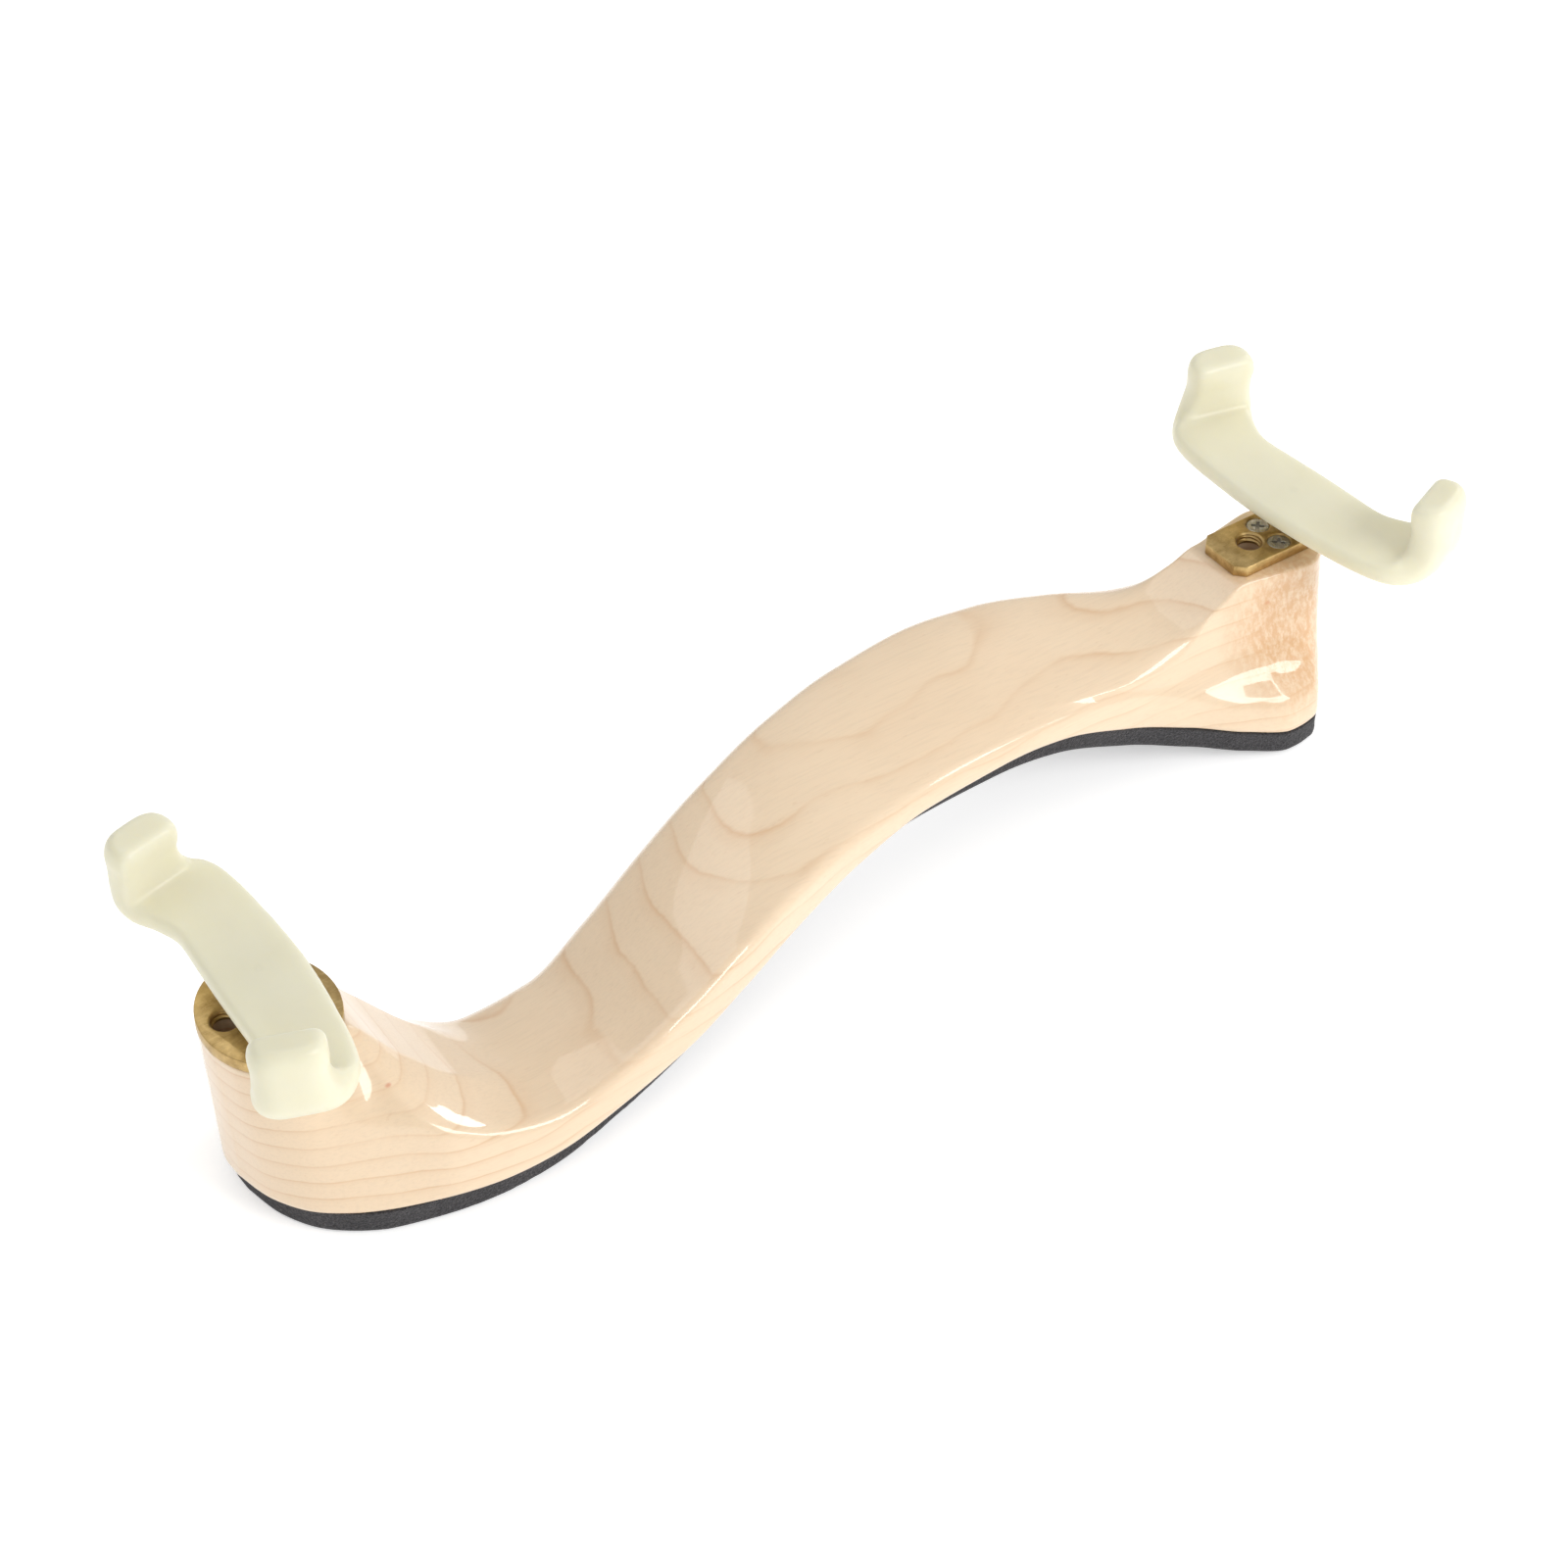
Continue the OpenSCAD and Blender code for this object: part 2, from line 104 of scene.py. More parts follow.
class Shader:
    """A material's node tree, built by short calls. A value given as a socket is linked."""

    def __init__(self, name):
        self.material = bpy.data.materials.new(name)
        self.material.use_nodes = True
        self.tree = self.material.node_tree
        self.surface = self.tree.nodes["Principled BSDF"]

    def put(self, node, socket, value):
        if isinstance(value, bpy.types.NodeSocket):
            self.tree.links.new(value, node.inputs[socket])
        else:
            node.inputs[socket].default_value = value

    def node(self, kind, sockets, out=0, **settings):
        node = self.tree.nodes.new("ShaderNode" + kind)
        for name, value in settings.items():
            setattr(node, name, value)
        for socket, value in sockets.items():
            self.put(node, socket, value)
        return node.outputs[out]

    def set(self, **sockets):
        for name, value in sockets.items():
            self.put(self.surface, name.replace("_", " "), value)

    def place(self):
        """The point on the piece, in millimetres."""
        where = self.node("TexCoord", {}, out="Object")
        return self.node("VectorMath", {0: where, 1: (1000, 1000, 1000)}, operation="MULTIPLY")

    def scaled(self, vector, scale):
        return self.node("VectorMath", {0: vector, 1: scale}, operation="MULTIPLY")

    def noise(self, vector, scale, detail=2.0, roughness=0.5, out="Fac"):
        return self.node("TexNoise", {"Vector": vector, "Scale": scale, "Detail": detail,
                                      "Roughness": roughness}, out=out)

    def math(self, operation, a, b=0.0):
        return self.node("Math", {0: a, 1: b}, operation=operation)

    def ramp(self, factor, stops):
        value = self.node("ValToRGB", {"Fac": factor})
        elements = value.node.color_ramp.elements
        while len(elements) < len(stops):
            elements.new(0.5)
        for element, (position, colour) in zip(elements, stops):
            element.position = position
            element.color = (*colour, 1) if isinstance(colour, tuple) else (colour, colour, colour, 1)
        return value

    def mix(self, factor, a, b, blend="MIX"):
        return self.node("Mix", {0: factor, 6: a, 7: b}, out=2, data_type="RGBA", blend_type=blend)

    def bump(self, height, distance, strength=1.0):
        return self.node("Bump", {"Height": height, "Distance": distance, "Strength": strength})


def colour(r, g, b):
    return (r, g, b, 1)


def floor_material():
    s = Shader("pale_floor")
    s.set(Base_Color=colour(0.93, 0.93, 0.93), Roughness=0.9, Specular_IOR_Level=0.1,
          Emission_Color=colour(1, 1, 1), Emission_Strength=0.42)
    return s.material


def maple_material():
    """Flat-sawn maple under clear gloss lacquer: growth rings are near-level layers in the wood."""
    s = Shader("lacquered_maple")
    at = s.place()
    xyz = s.node("SeparateXYZ", {0: at})
    x, y, z = (xyz.node.outputs[i] for i in range(3))

    # Growth rings: layers about 3 mm apart, tilted a little and slowly warped
    slow = s.noise(at, 0.028, 2)
    ripple = s.noise(s.scaled(at, (0.4, 1, 1)), 0.9, 3)
    layer = s.math("ADD", z, s.math("MULTIPLY", slow, 7.0))
    layer = s.math("ADD", layer, s.math("MULTIPLY", y, 0.05))
    layer = s.math("ADD", layer, s.math("MULTIPLY", x, 0.012))
    layer = s.math("ADD", layer, s.math("MULTIPLY", ripple, 0.22))
    ring = s.math("FRACT", s.math("DIVIDE", layer, 3.1))
    line = s.ramp(ring, [(0.0, 0.10), (0.10, 0.0), (0.62, 0.05), (0.86, 0.34), (0.945, 1.0), (1.0, 0.12)])
    # The rings fade in and out along the bar
    fade = s.ramp(s.noise(at, 0.06, 2), [(0.36, 0.30), (0.62, 1.0)])
    line = s.math("MULTIPLY", line, fade)

    # Broad drifts of tone, and fine fibres that run along the bar
    drift = s.noise(s.scaled(at, (0.5, 1, 1)), 0.05, 3)
    wood = s.mix(drift, colour(0.845, 0.675, 0.48), colour(0.785, 0.59, 0.395))
    fibre = s.noise(s.scaled(at, (0.05, 1, 1)), 2.6, 4, 0.65)
    fibre_tone = s.ramp(fibre, [(0.30, 0.90), (0.52, 1.0), (0.75, 1.03)])
    wood = s.mix(0.55, wood, s.mix(1.0, wood, fibre_tone, "MULTIPLY"))
    wood = s.mix(s.math("MULTIPLY", line, 0.52), wood, colour(0.62, 0.35, 0.16))

    # Short darker flecks along the grain
    fleck = s.ramp(s.noise(s.scaled(at, (0.22, 1, 1)), 1.9, 2, 0.6), [(0.66, 0.0), (0.74, 1.0)])
    wood = s.mix(s.math("MULTIPLY", fleck, 0.16), wood, colour(0.55, 0.32, 0.17))
    # A few reddish spots
    spot_far = s.node("TexVoronoi", {"Vector": s.scaled(at, (0.7, 1, 1)), "Scale": 0.06}, out="Distance")
    spot = s.ramp(spot_far, [(0.018, 1.0), (0.030, 0.0)])
    wood = s.mix(s.math("MULTIPLY", spot, 0.7), wood, colour(0.62, 0.20, 0.10))

    # Curly figure where the narrow post's near face cuts across the grain
    curl_at = s.scaled(s.node("VectorMath", {0: at, 1: (88, -11, 20)}, operation="SUBTRACT"), (1, 0.9, 0.8))
    curl_far = s.node("VectorMath", {0: curl_at}, out="Value", operation="LENGTH")
    curl_mask = s.ramp(s.math("DIVIDE", curl_far, 20.0), [(0.30, 1.0), (0.72, 0.0)])
    curl = s.ramp(s.noise(s.scaled(at, (1, 0.7, 0.5)), 1.1, 4, 0.7), [(0.36, 0.15), (0.58, 1.0)])
    curl = s.math("MULTIPLY", s.math("MULTIPLY", curl, curl_mask), 0.75)
    wood = s.mix(curl, wood, colour(0.65, 0.35, 0.15))

    height = s.math("ADD", s.math("MULTIPLY", fibre, 0.6), s.math("MULTIPLY", line, -0.5))
    s.set(Base_Color=wood, Roughness=0.42, Specular_IOR_Level=0.35, Coat_Weight=1.0, Coat_Roughness=0.045,
          Coat_IOR=1.5, Normal=s.bump(height, 0.00004, 0.5),
          Subsurface_Weight=0.06, Subsurface_Radius=(0.002, 0.0012, 0.0008), Subsurface_Scale=1.0)
    return s.material


def foam_material():
    """Dense charcoal foam with an open, grainy cut edge."""
    s = Shader("charcoal_foam")
    at = s.place()
    cells = s.node("TexVoronoi", {"Vector": at, "Scale": 2.3, "Randomness": 1.0}, out="Distance")
    grain = s.noise(at, 3.4, 4, 0.75)
    tone = s.ramp(grain, [(0.30, (0.020, 0.019, 0.021)), (0.52, (0.042, 0.040, 0.043)),
                          (0.74, (0.105, 0.10, 0.105))])
    # Painted shade: the colour is darkened in the cells' pits, the same dents that the bump makes
    painted_pit_shade = s.ramp(cells, [(0.10, 0.35), (0.42, 1.0)])
    wear = s.ramp(s.noise(at, 0.09, 3), [(0.42, (1.0, 1.0, 1.0)), (0.70, (1.35, 1.33, 1.33))])
    tone = s.mix(1.0, s.mix(0.7, tone, s.mix(1.0, tone, painted_pit_shade, "MULTIPLY")), wear, "MULTIPLY")
    height = s.math("ADD", s.math("MULTIPLY", cells, 0.8), grain)
    s.set(Base_Color=tone, Roughness=0.95, Specular_IOR_Level=0.2, Normal=s.bump(height, 0.00022, 0.9),
          Sheen_Weight=0.12, Sheen_Roughness=0.6)
    return s.material


def rubber_material():
    """Cream silicone rubber, a little cloudy, with a moulding gate's mark at the foot's middle."""
    s = Shader("cream_rubber")
    at = s.place()
    cloud = s.noise(at, 0.10, 3, 0.55)
    tone = s.mix(cloud, colour(0.735, 0.70, 0.52), colour(0.80, 0.775, 0.625))
    streak = s.noise(s.scaled(at, (1, 0.12, 1)), 0.5, 3)
    tone = s.mix(s.math("MULTIPLY", streak, 0.25), tone, colour(0.70, 0.675, 0.50))
    # The gate's mark: a small raised dot round the piece's own origin
    xyz = s.node("SeparateXYZ", {0: at})
    flat = s.node("CombineXYZ", {0: xyz.node.outputs[0], 1: xyz.node.outputs[1], 2: 0.0})
    away = s.node("VectorMath", {0: flat}, out="Value", operation="LENGTH")
    mark = s.ramp(s.math("DIVIDE", away, 4.0),
                  [(0.0, 0.6), (0.10, 0.8), (0.20, 0.3), (0.28, 0.0), (1.0, 0.0)])
    tone = s.mix(s.math("MULTIPLY", mark, 0.10), tone, colour(0.56, 0.53, 0.36))
    height = s.math("ADD", mark, s.math("MULTIPLY", s.noise(at, 0.7, 4, 0.6), 0.30))
    rough = s.node("MapRange", {0: s.noise(at, 0.25, 3), 1: 0.35, 2: 0.65, 3: 0.30, 4: 0.42})
    s.set(Base_Color=tone, Roughness=rough, Specular_IOR_Level=0.45, Normal=s.bump(height, 0.00012, 0.55),
          Subsurface_Weight=0.45, Subsurface_Radius=(0.006, 0.0055, 0.0038), Subsurface_Scale=1.0)
    return s.material


def brass_material():
    """Brushed brass gone dull, darker in its scratches."""
    s = Shader("worn_brass")
    at = s.place()
    brush = s.noise(s.scaled(at, (0.16, 1, 1)), 4.0, 4, 0.7)
    cross = s.noise(s.scaled(at, (1, 0.10, 1)), 1.8, 3, 0.7)
    patina = s.noise(at, 0.42, 5, 0.62)
    dull = s.ramp(patina, [(0.34, 0.0), (0.68, 1.0)])
    tone = s.mix(dull, colour(0.62, 0.44, 0.19), colour(0.36, 0.235, 0.085))
    bright = s.math("MULTIPLY", s.ramp(brush, [(0.54, 0.0), (0.70, 1.0)]), 0.45)
    tone = s.mix(bright, tone, colour(0.78, 0.60, 0.31))
    scratch = s.ramp(cross, [(0.70, 0.0), (0.76, 1.0)])
    tone = s.mix(s.math("MULTIPLY", scratch, 0.5), tone, colour(0.20, 0.13, 0.05))
    rough = s.node("MapRange", {0: brush, 1: 0.3, 2: 0.7, 3: 0.26, 4: 0.46})
    height = s.math("ADD", brush, s.math("MULTIPLY", scratch, -0.6))
    s.set(Base_Color=tone, Metallic=0.95, Roughness=rough, Normal=s.bump(height, 0.00003, 0.6))
    return s.material


def steel_material():
    """Nickel-plated steel with a little handling wear."""
    s = Shader("plated_steel")
    at = s.place()
    wear = s.noise(at, 1.2, 5, 0.65)
    fine = s.noise(s.scaled(at, (1, 0.2, 1)), 6.0, 3, 0.7)
    worn = s.ramp(wear, [(0.40, 0.0), (0.70, 1.0)])
    tone = s.mix(worn, colour(0.66, 0.65, 0.62), colour(0.40, 0.37, 0.33))
    rough = s.node("MapRange", {0: wear, 1: 0.3, 2: 0.7, 3: 0.18, 4: 0.42})
    s.set(Base_Color=tone, Metallic=1.0, Roughness=rough, Normal=s.bump(fine, 0.00002, 0.5))
    return s.material


# ---------------------------------------------------------------- smooth rings and skins

def rail(rows, u):
    """A table's row at the fractional place u, smooth and without overshoot, as in the part."""
    i = min(int(u), len(rows) - 2)
    t = u - i
    row = []
    for k in range(len(rows[0])):
        here = rows[i + 1][k] - rows[i][k]
        before = rows[i][k] - rows[i - 1][k] if i > 0 else here
        after = rows[i + 2][k] - rows[i + 1][k] if i < len(rows) - 2 else here
        m = 2 * before * here / (before + here) if before * here > 0 else 0
        n = 2 * here * after / (here + after) if here * after > 0 else 0
        row.append(rows[i][k] * (1 + 2 * t) * (1 - t) ** 2 + m * t * (1 - t) ** 2
                   + rows[i + 1][k] * t * t * (3 - 2 * t) - n * t * t * (1 - t))
    return row


def soft_ring(corners, radii, n):
    """A ring of corners, each rounded over its radius."""
    ring = []
    for i, (corner, radius) in enumerate(zip(corners, radii)):
        before, after = corners[i - 1] - corner, corners[(i + 1) % len(corners)] - corner
        a = before * min(0.49, radius / max(0.01, before.length))
        b = after * min(0.49, radius / max(0.01, after.length))
        for j in range(n + 1):
            t = j / n
            ring.append(corner + a * (1 - t) ** 2 + b * t * t)
    return ring


def new_piece(name, verts, faces, material, body):
    """A mesh object of smooth faces that rides on a body."""
    mesh = bpy.data.meshes.new(name)
    mesh.from_pydata([Vector(v) * MM for v in verts], [], faces)
    build = bmesh.new()
    build.from_mesh(mesh)
    bmesh.ops.remove_doubles(build, verts=build.verts, dist=1e-7)
    bmesh.ops.recalc_face_normals(build, faces=build.faces)
    build.to_mesh(mesh)
    build.free()
    piece = bpy.data.objects.new(name, mesh)
    bpy.context.collection.objects.link(piece)
    mesh.materials.append(material)
    smooth(mesh, 40)
    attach(piece, body)
    return piece


def smooth(mesh, angle):
    mesh.shade_smooth()
    mesh.set_sharp_from_angle(angle=math.radians(angle))


def skin(rings):
    """Points and faces of a closed skin over rings that all have the same number of points."""
    n = len(rings[0])
    verts = [p for ring in rings for p in ring]
    faces = [(i * n + j, (i + 1) * n + j, (i + 1) * n + (j + 1) % n, i * n + (j + 1) % n)
             for i in range(len(rings) - 1) for j in range(n)]
    faces.append(tuple(range(n)))
    faces.append(tuple(reversed(range(len(verts) - n, len(verts)))))
    return verts, faces


def steps(last, per_step):
    return [min(i / per_step, last) for i in range(int(round(last * per_step)) + 1)]


# ---------------------------------------------------------------- the maple bar and its pad

PAD_T, PLATE_TOP, PLATE_T = 4.0, 31.2, 2.0
SEAT, POST = PLATE_TOP - PLATE_T, 24.5
STUD_X, FREE_X = (-95, 95), (-101.2, 86.2)
SCREW_X, SCREW_Y = (-90.2, 90.2), (-2.6, 2.6)
BORE_R, BORE_DEPTH = 2.3, 17.5
PILOT_R, PILOT_DEPTH = 1.14, 9.4
FOOT_BOTTOM, FOOT_T = PLATE_TOP + 2, 4.5
STUD_R, STUD_ROOT, STUD_L = 2.0, 1.68, 17
HEAD_H = 1.0
LEFT_PLATE = (-95.1, -1.6, 20.4, 23.0)
RIGHT_HALF = 10.2 / 2 + 1.8


def left_end(angle, x, near, far, z, near_z, far_z, share):
    a = math.radians(angle)
    plate_x, plate_y, length, width = LEFT_PLATE
    half = width / 2 * math.sin(a)
    return [x, plate_x - length / 2 * math.cos(a), near, far, z, z, near_z, far_z,
            plate_y - half, plate_y + half, POST, POST, share, 0]


def right_end(x, top_x, half, far, z, near_z, top_half, hollow):
    return [x, top_x, -half, far, z, z, near_z, near_z, -top_half, top_half, POST, POST, 0.06, hollow]


# Each station's bottom x and top x, the near and far y at the bottom, their z, the shoulders' z, the
# near and far y at the top, their z, the share of the way to the top where the shoulder is, the hollow
STATIONS = [
    left_end(8, -104.0, -4.4, 0.6, 0, 13.5, 13.5, 0.55),
    left_end(28, -102.8, -9.9, 3.8, 0, 13.5, 13.5, 0.55),
    left_end(50, -99.5, -15.9, 7.4, 0, 13.5, 13.5, 0.55),
    left_end(75, -95.1, -19.7, 10.2, 0, 13.5, 13.5, 0.5),
    left_end(110, -90.0, -22.5, 11.4, 0, 14, 14, 0.4),
    left_end(140, -84.6, -24.5, 11.0, 0, 14, 12.5, 0.2),
    [-79, -80, -26.1, 9.0, 0.0, 0.0, 11.7, 9.6, -12.0, 3.0, 17.2, 17.2, 0.06, 0],
    [-72, -72, -27.4, 5.6, 0.2, 0.0, 9.0, 6.6, -15.5, -2.0, 11.0, 10.4, 0.06, 0],
    [-63, -63, -28.0, 2.2, 1.2, 0.2, 7.9, 4.6, -17.0, -6.5, 8.2, 6.9, 0.06, 0],
    [-52, -52, -27.3, 1.8, 3.6, 1.2, 10.1, 5.8, -17.0, -7.0, 9.6, 7.8, 0.06, 0],
    [-40, -40, -25.8, 4.3, 6.4, 4.6, 13.8, 10.0, -15.5, -5.0, 13.1, 11.8, 0.06, 0],
    [-28, -28, -22.6, 7.4, 9.0, 8.8, 16.3, 15.0, -12.5, -2.0, 16.5, 16.5, 0.06, 0],
    [-15, -15, -18.2, 10.6, 11.0, 12.8, 17.4, 19.5, -8.0, 1.5, 19.1, 20.2, 0.06, 0],
    [0, 0, -13.6, 14.5, 12.5, 15.0, 17.8, 22.4, -4.5, 5.5, 20.5, 22.6, 0.06, 0],
    [15, 15, -10.6, 17.4, 13.4, 16.2, 17.6, 23.6, -2.5, 8.5, 20.6, 23.6, 0.06, 0],
    [30, 30, -9.4, 19.0, 13.4, 16.0, 17.2, 23.6, -3.0, 9.5, 19.9, 23.6, 0.06, 0],
    [43, 43, -8.7, 18.6, 11.9, 14.0, 16.2, 22.4, -5.6, 9.0, 18.2, 22.4, 0.06, 0],
    [56, 56, -9.0, 15.6, 7.8, 9.4, 13.6, 20.8, -7.2, 7.5, 17.2, 21.0, 0.06, 0.06],
    [67, 67, -11.0, 12.4, 4.0, 4.8, 9.6, 18.0, -7.0, 6.6, 18.7, 21.1, 0.06, 0.14],
    [76, 75, -15.0, 12.5, 1.5, 1.8, 6.8, 13.5, -6.3, 6.2, 22.2, 22.9, 0.06, 0.2],
    right_end(83.3, 80, 17.8, 14.0, 0.3, 6.1, RIGHT_HALF - 0.6, 0.2),
    right_end(88.6, 86.5, 17.0, 14.4, 0, 6.0, RIGHT_HALF + 0.5, 0.18),
    right_end(92.7, 92.5, 12.8, 12.0, 0, 6.0, RIGHT_HALF + 1.4, 0.1),
    right_end(96.4, 97.2, 7.2, 7.0, 0.2, 6.2, RIGHT_HALF - 1.4, 0.04),
    right_end(98.0, 99.4, 2.4, 2.4, 0.9, 6.9, RIGHT_HALF - 5, 0)]


def up(z):
    return PAD_T + z * (SEAT - PAD_T) / POST


def clamp(value, low, high):
    return max(low, min(high, value))


def bar_ring(u, n):
    v = rail(STATIONS, u)
    x_mid = v[0] + (v[1] - v[0]) * v[12]
    near_y = v[2] + (v[8] - v[2]) * v[12]
    far_y = v[3] + (v[9] - v[3]) * v[12]
    top_r = 0.6 + 9 * clamp((72 - abs(v[1])) / 22, 0, 1)
    corners = [Vector((x, y, up(z))) for x, y, z in (
        (v[0], v[2], v[4]), (v[0], v[3], v[5]), (x_mid, far_y, v[7]),
        (v[1], v[9], v[11]), (v[1], v[8], v[10]),
        ((x_mid + v[1]) / 2, near_y + (v[8] - near_y) * (0.5 + v[13]),
         v[6] + (v[10] - v[6]) * (0.5 - v[13])),
        (x_mid, near_y, v[6]))]
    return soft_ring(corners, (1.5, 1.5, 3, top_r, top_r, 9, 2), n)


def apply_modifiers(piece):
    """Puts the shape that the piece's modifiers give in place of its mesh."""
    shape = bpy.data.meshes.new_from_object(piece.evaluated_get(bpy.context.evaluated_depsgraph_get()))
    piece.modifiers.clear()
    shape.name = piece.name
    piece.data = shape


def cut(piece, cutters):
    """Takes the cutters' shapes out of the piece."""
    bpy.context.view_layer.update()
    for cutter in cutters:
        modifier = piece.modifiers.new("cut", "BOOLEAN")
        modifier.object, modifier.operation, modifier.solver = cutter, "DIFFERENCE", "EXACT"
    apply_modifiers(piece)
    for cutter in cutters:
        bpy.data.objects.remove(cutter)
    smooth(piece.data, 35)


def soften(piece, voxel, rounds):
    """Rebuilds the piece on a fine even grid and relaxes it, so that its creases turn to fillets."""
    grid = piece.modifiers.new("grid", "REMESH")
    grid.mode, grid.voxel_size, grid.use_smooth_shade = "VOXEL", voxel * MM, True
    relax = piece.modifiers.new("relax", "SMOOTH")
    relax.factor, relax.iterations = 0.5, rounds
    bpy.context.view_layer.update()
    apply_modifiers(piece)
    piece.data.shade_smooth()


def drill(x, y, bottom, top, radius):
    """A plain cylinder that cuts an upright hole."""
    mesh = bpy.data.meshes.new("drill")
    build = bmesh.new()
    bmesh.ops.create_cone(build, cap_ends=True, segments=40, radius1=radius * MM, radius2=radius * MM,
                          depth=(top - bottom) * MM)
    build.transform(Matrix.Translation((x * MM, y * MM, (bottom + top) / 2 * MM)))
    build.to_mesh(mesh)
    build.free()
    drill_object = bpy.data.objects.new("drill", mesh)
    bpy.context.collection.objects.link(drill_object)
    return drill_object


def make_bar(material):
    verts, faces = skin([bar_ring(u, 9) for u in steps(len(STATIONS) - 1, 9)])
    bar = new_piece("carved_maple", verts, faces, material, "bar")
    holes = [drill(x, 0, SEAT - BORE_DEPTH, SEAT + 1, BORE_R) for x in (*STUD_X, *FREE_X)]
    holes += [drill(x, y, SEAT - PILOT_DEPTH, SEAT + 1, PILOT_R) for x in SCREW_X for y in SCREW_Y]
    cut(bar, holes)
    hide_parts("maple_bar")


def pad_ring(u, n):
    v = rail(STATIONS, u)
    x = v[0] + 1.4 * max(0, -90 - v[0]) / 14.4
    near, far = Vector((x, v[2], up(v[4]))), Vector((x, v[3], up(v[5])))
    waist = math.cos(math.radians(90 * clamp((v[0] + 12) / 78, -1, 1)))
    inward = (far - near).normalized() * (0.3 + 3.0 * waist)
    top, bottom = Vector((0, 0, -0.05)), Vector((0, 0, -PAD_T))
    # A little extra inset at mid-height: the knife's cut through foam is never quite flat
    middle = Vector((0, 0, -PAD_T / 2))
    pinch = (far - near).normalized() * 0.12
    corners = [near + inward + bottom, far - inward + bottom, far - inward - pinch + middle,
               far - inward + top, near + inward + top, near + inward + pinch + middle]
    return soft_ring(corners, (0.9, 0.9, 1.2, 0.15, 0.15, 1.2), n)


def make_pad(material):
    rings = [pad_ring(u, 3) for u in steps(len(STATIONS) - 1, 14)]
    # The cut edge's small unevenness, inwards only so that the pad keeps its box
    for ring in rings:
        middle = sum(ring, Vector()) / len(ring)
        for i, p in enumerate(ring):
            if p.z > middle.z - PAD_T * 0.45:
                dent = max(0.0, noise.noise(p * 0.9)) * 0.14 + max(0.0, noise.noise(p * 0.25)) * 0.12
                ring[i] = p + Vector((0, middle.y - p.y, 0)).normalized() * dent
    verts, faces = skin(rings)
    pad = new_piece("foam_strip", verts, faces, material, "bar")
    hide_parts("foam_pad")


# ---------------------------------------------------------------- the feet

# Each row from the stud outwards: distance, height, bow, width, thickness and turn
FOOT_PATH = [
    [0.0, 0.0, 0.0, 14.0, 4.5, 0],
    [7.0, 0.0, 0.1, 13.6, 4.5, 1],
    [13.0, 0.0, 0.4, 13.0, 4.5, 4],
    [18.0, 0.0, 1.6, 14.0, 4.6, 9],
    [21.8, 0.1, 3.4, 15.0, 5.0, 13],
    [24.2, 1.3, 5.2, 14.0, 5.6, 16],
    [24.9, 3.9, 6.4, 11.8, 5.8, 17],
    [24.8, 7.2, 6.8, 10.8, 5.8, 17],
    [24.6, 9.6, 6.8, 11.2, 6.2, 17],
    [24.3, 11.5, 6.6, 10.6, 5.8, 17],
    [24.2, 12.4, 6.5, 8.8, 4.2, 17]]
BOW_SCALE = 6.6 / 6.8
FOOT_MIDDLE = FOOT_BOTTOM + FOOT_T / 2
LEFT_TURN, RIGHT_TURN = 180 - 4, 5


def foot_point(u):
    distance, height, bow = rail(FOOT_PATH, abs(u))[:3]
    return Vector((bow * BOW_SCALE, math.copysign(distance, u), height))


def foot_ring(u, n):
    last = len(FOOT_PATH) - 1
    row = rail(FOOT_PATH, abs(u))
    turn = math.radians(math.copysign(row[5], u))
    tangent = Vector((math.sin(turn), math.cos(turn), 0))
    width = Vector((math.cos(turn), -math.sin(turn), 0))
    ahead = foot_point(min(last, u + 0.05)) - foot_point(max(-last, u - 0.05))
    run = ahead.dot(tangent)
    normal = (Vector((0, 0, run)) - tangent * ahead.z) / math.hypot(run, ahead.z)
    half_w, half_t = row[3] / 2, row[4] / 2
    corners = [foot_point(u) + width * (i * half_w) + normal * (j * half_t)
               for i, j in ((-1, 1), (1, 1), (1, -0.35), (0.62, -1), (-0.62, -1), (-1, -0.35))]
    return soft_ring(corners, (1.5, 1.5, 2, 2, 2, 2), n)


def make_foot(side, body, x, turn, material):
    last = len(FOOT_PATH) - 1
    rings = [foot_ring(u, 8) for u in [-v for v in reversed(steps(last, 10))] + steps(last, 10)[1:]]
    verts, faces = skin(rings)
    foot = new_piece(side + "_forked_foot", verts, faces, material, body)
    soften(foot, 0.42, 10)
    # The piece's own origin is on its stud, so the gate's mark falls there
    foot.data.transform(Matrix.Rotation(math.radians(turn), 4, "Z"))
    foot.matrix_world = Matrix.Translation((x * MM, 0, FOOT_MIDDLE * MM)) @ foot.matrix_world
    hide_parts(side + "_foot")


# ---------------------------------------------------------------- metal pieces

def bevelled(node, name, body, material, width):
    """A copy of a CAD node with its sharp edges eased, standing in for the node."""
    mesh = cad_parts[node].data.copy()
    build = bmesh.new()
    build.from_mesh(mesh)
    bmesh.ops.remove_doubles(build, verts=build.verts, dist=1e-6)
    bmesh.ops.dissolve_limit(build, angle_limit=math.radians(1.5), verts=build.verts, edges=build.edges)
    sharp = [e for e in build.edges if e.is_manifold and e.calc_face_angle() > math.radians(32)]
    bmesh.ops.bevel(build, geom=sharp, offset=width * MM, segments=3, profile=0.5, affect="EDGES",
                    clamp_overlap=True)
    build.to_mesh(mesh)
    build.free()
    mesh.name = name
    mesh.materials.clear()
    mesh.materials.append(material)
    for polygon in mesh.polygons:
        polygon.material_index = 0
    piece = bpy.data.objects.new(name, mesh)
    bpy.context.collection.objects.link(piece)
    piece.matrix_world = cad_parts[node].matrix_world
    smooth(mesh, 50)
    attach(piece, body)
    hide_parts(node)


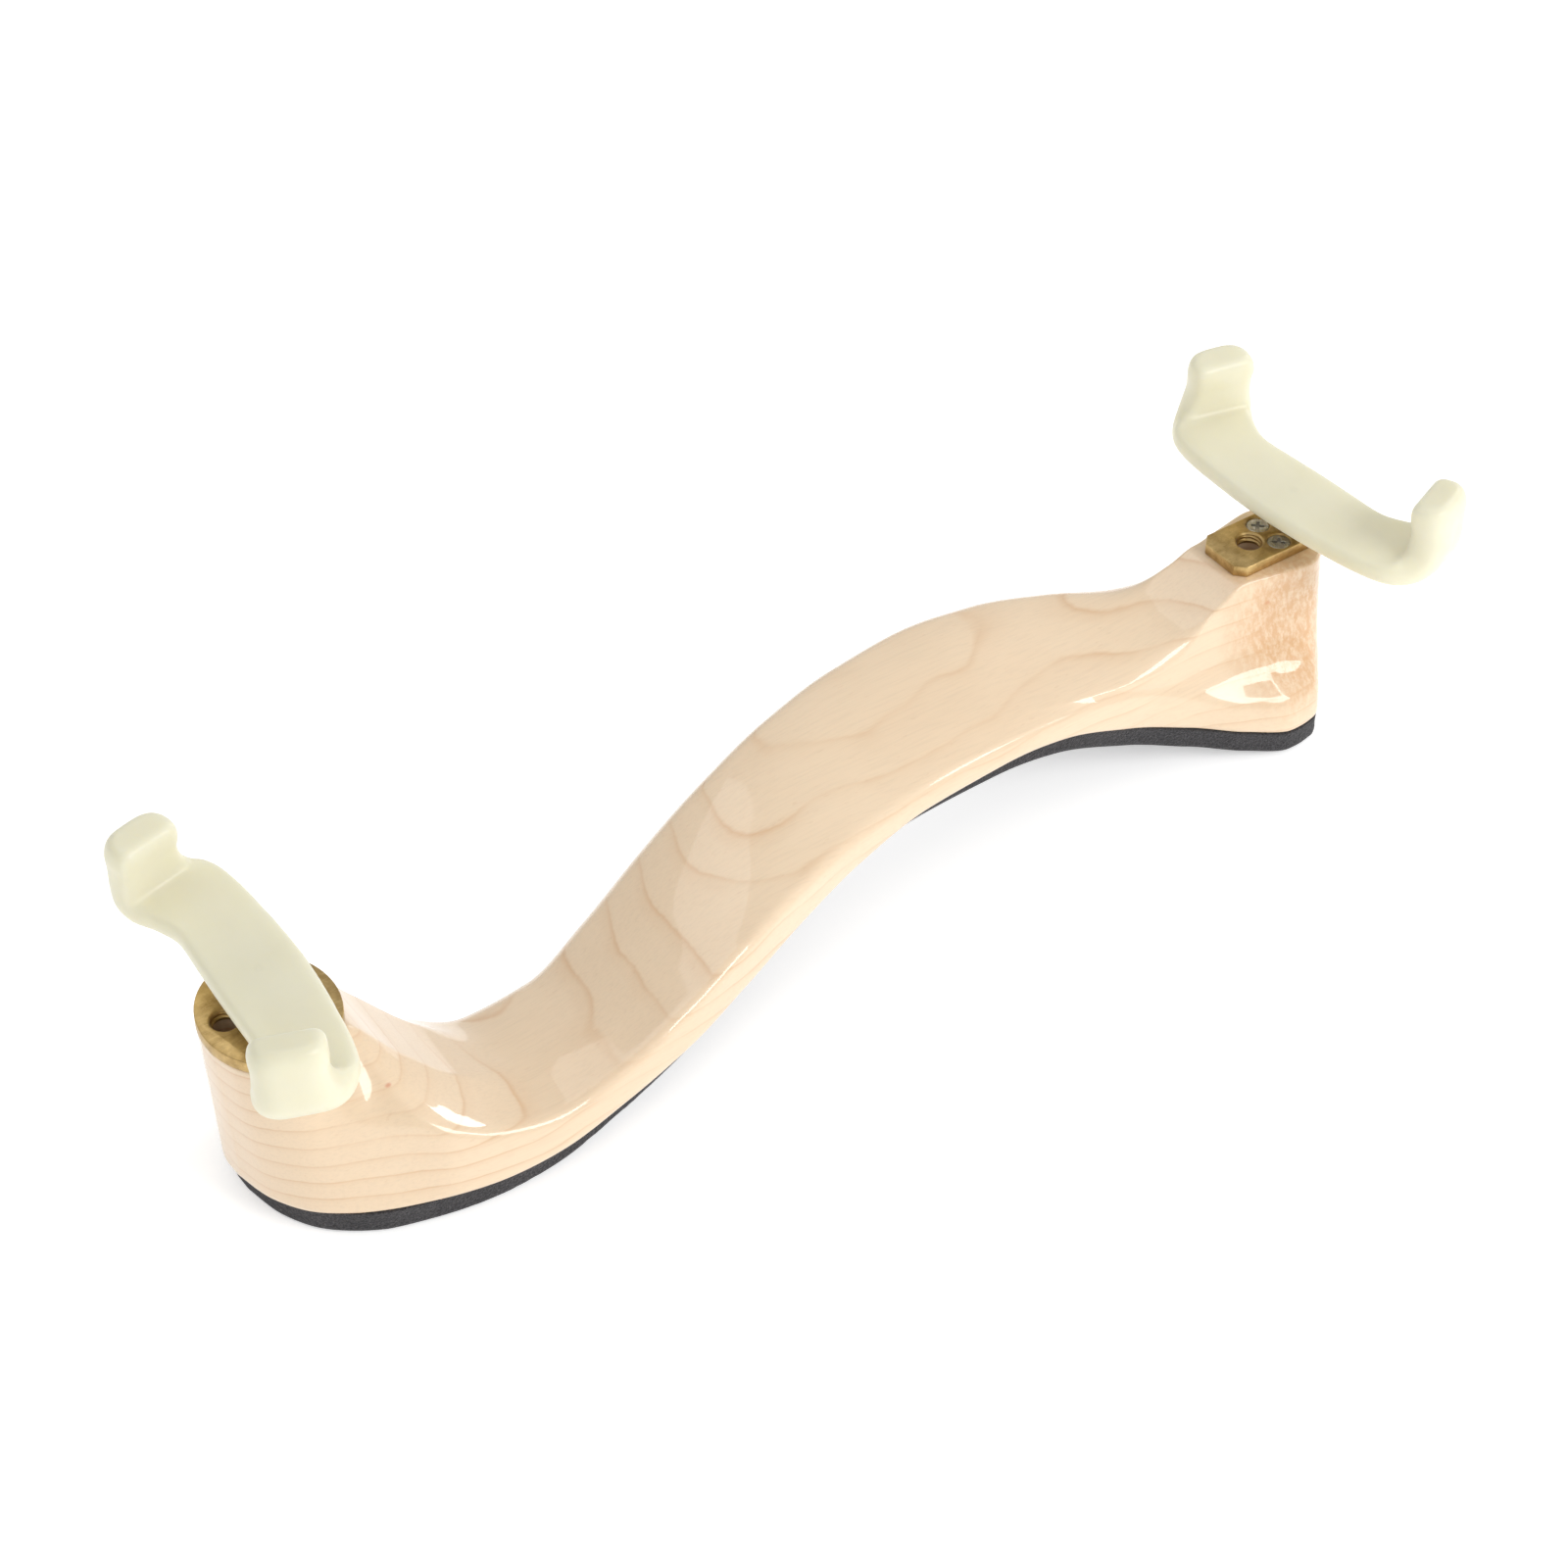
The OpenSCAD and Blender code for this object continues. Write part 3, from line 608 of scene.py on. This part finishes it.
def thread(x, bottom, top, crest, root, pitch=0.7, around=40, per_pitch=8):
    """Rings of a screw thread about the vertical line at x, tapering off at both ends."""
    count = int((top - bottom) / pitch * per_pitch)
    rings = []
    for i in range(count + 1):
        z = bottom + (top - bottom) * i / count
        ends = clamp(min(z - bottom, top - z) / pitch, 0, 1)
        ring = []
        for j in range(around):
            phase = (z / pitch - j / around) % 1
            tooth = clamp(1.25 - abs(phase - 0.5) * 3.2, 0, 1) * ends
            radius, turn = root + (crest - root) * tooth, math.tau * (j / around)
            ring.append(Vector((x + radius * math.cos(turn), radius * math.sin(turn), z)))
        rings.append(ring)
    return rings


def make_stud(side, x, material):
    """The threaded stud, with the disc of its head inside the foot."""
    bottom = FOOT_BOTTOM - STUD_L
    rings = thread(x, bottom, FOOT_BOTTOM - 0.4, STUD_R, STUD_ROOT)
    tip = [Vector((x, 0, bottom)) + (p - Vector((x, 0, p.z))) * 0.9 for p in rings[0]]
    rings = [tip] + rings
    around = len(tip)
    for radius, z in ((STUD_ROOT, 0.0), (STUD_R, 0.0), (STUD_R, HEAD_H)):
        rings.append([Vector((x + radius * math.cos(math.tau * j / around),
                              radius * math.sin(math.tau * j / around), FOOT_BOTTOM + z))
                      for j in range(around)])
    verts, faces = skin(rings)
    stud = new_piece(side + "_threaded_stud", verts, faces, material, side + "_stud")
    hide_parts(side + "_stud")


def make_tapping(side, x, material):
    """The thread cut in a free hole, proud of the plain bore."""
    rings = thread(x, SEAT + 0.02, PLATE_TOP - 0.32, 1.74, 2.06)
    n = len(rings[0])
    verts = [p for ring in rings for p in ring]
    faces = [(i * n + j, i * n + (j + 1) % n, (i + 1) * n + (j + 1) % n, (i + 1) * n + j)
             for i in range(len(rings) - 1) for j in range(n)]
    new_piece(side + "_hole_thread", verts, faces, material, "bar")


# ---------------------------------------------------------------- assembly

make_camera()
make_studio()

maple, foam, rubber = maple_material(), foam_material(), rubber_material()
brass, steel = brass_material(), steel_material()

make_bar(maple)
make_pad(foam)
make_foot("left", "left_foot", STUD_X[0], LEFT_TURN, rubber)
make_foot("right", "right_foot", STUD_X[1], RIGHT_TURN, rubber)
for plate_side, free_x in zip(("left", "right"), FREE_X):
    bevelled(plate_side + "_plate", plate_side + "_brass_plate", "bar", brass, 0.22)
    bevelled(plate_side + "_plate_screws", plate_side + "_wood_screws", "bar", steel, 0.07)
    make_tapping(plate_side, free_x, brass)
for stud_side, stud_x in zip(("left", "right"), STUD_X):
    make_stud(stud_side, stud_x, steel)

bpy.context.view_layer.update()
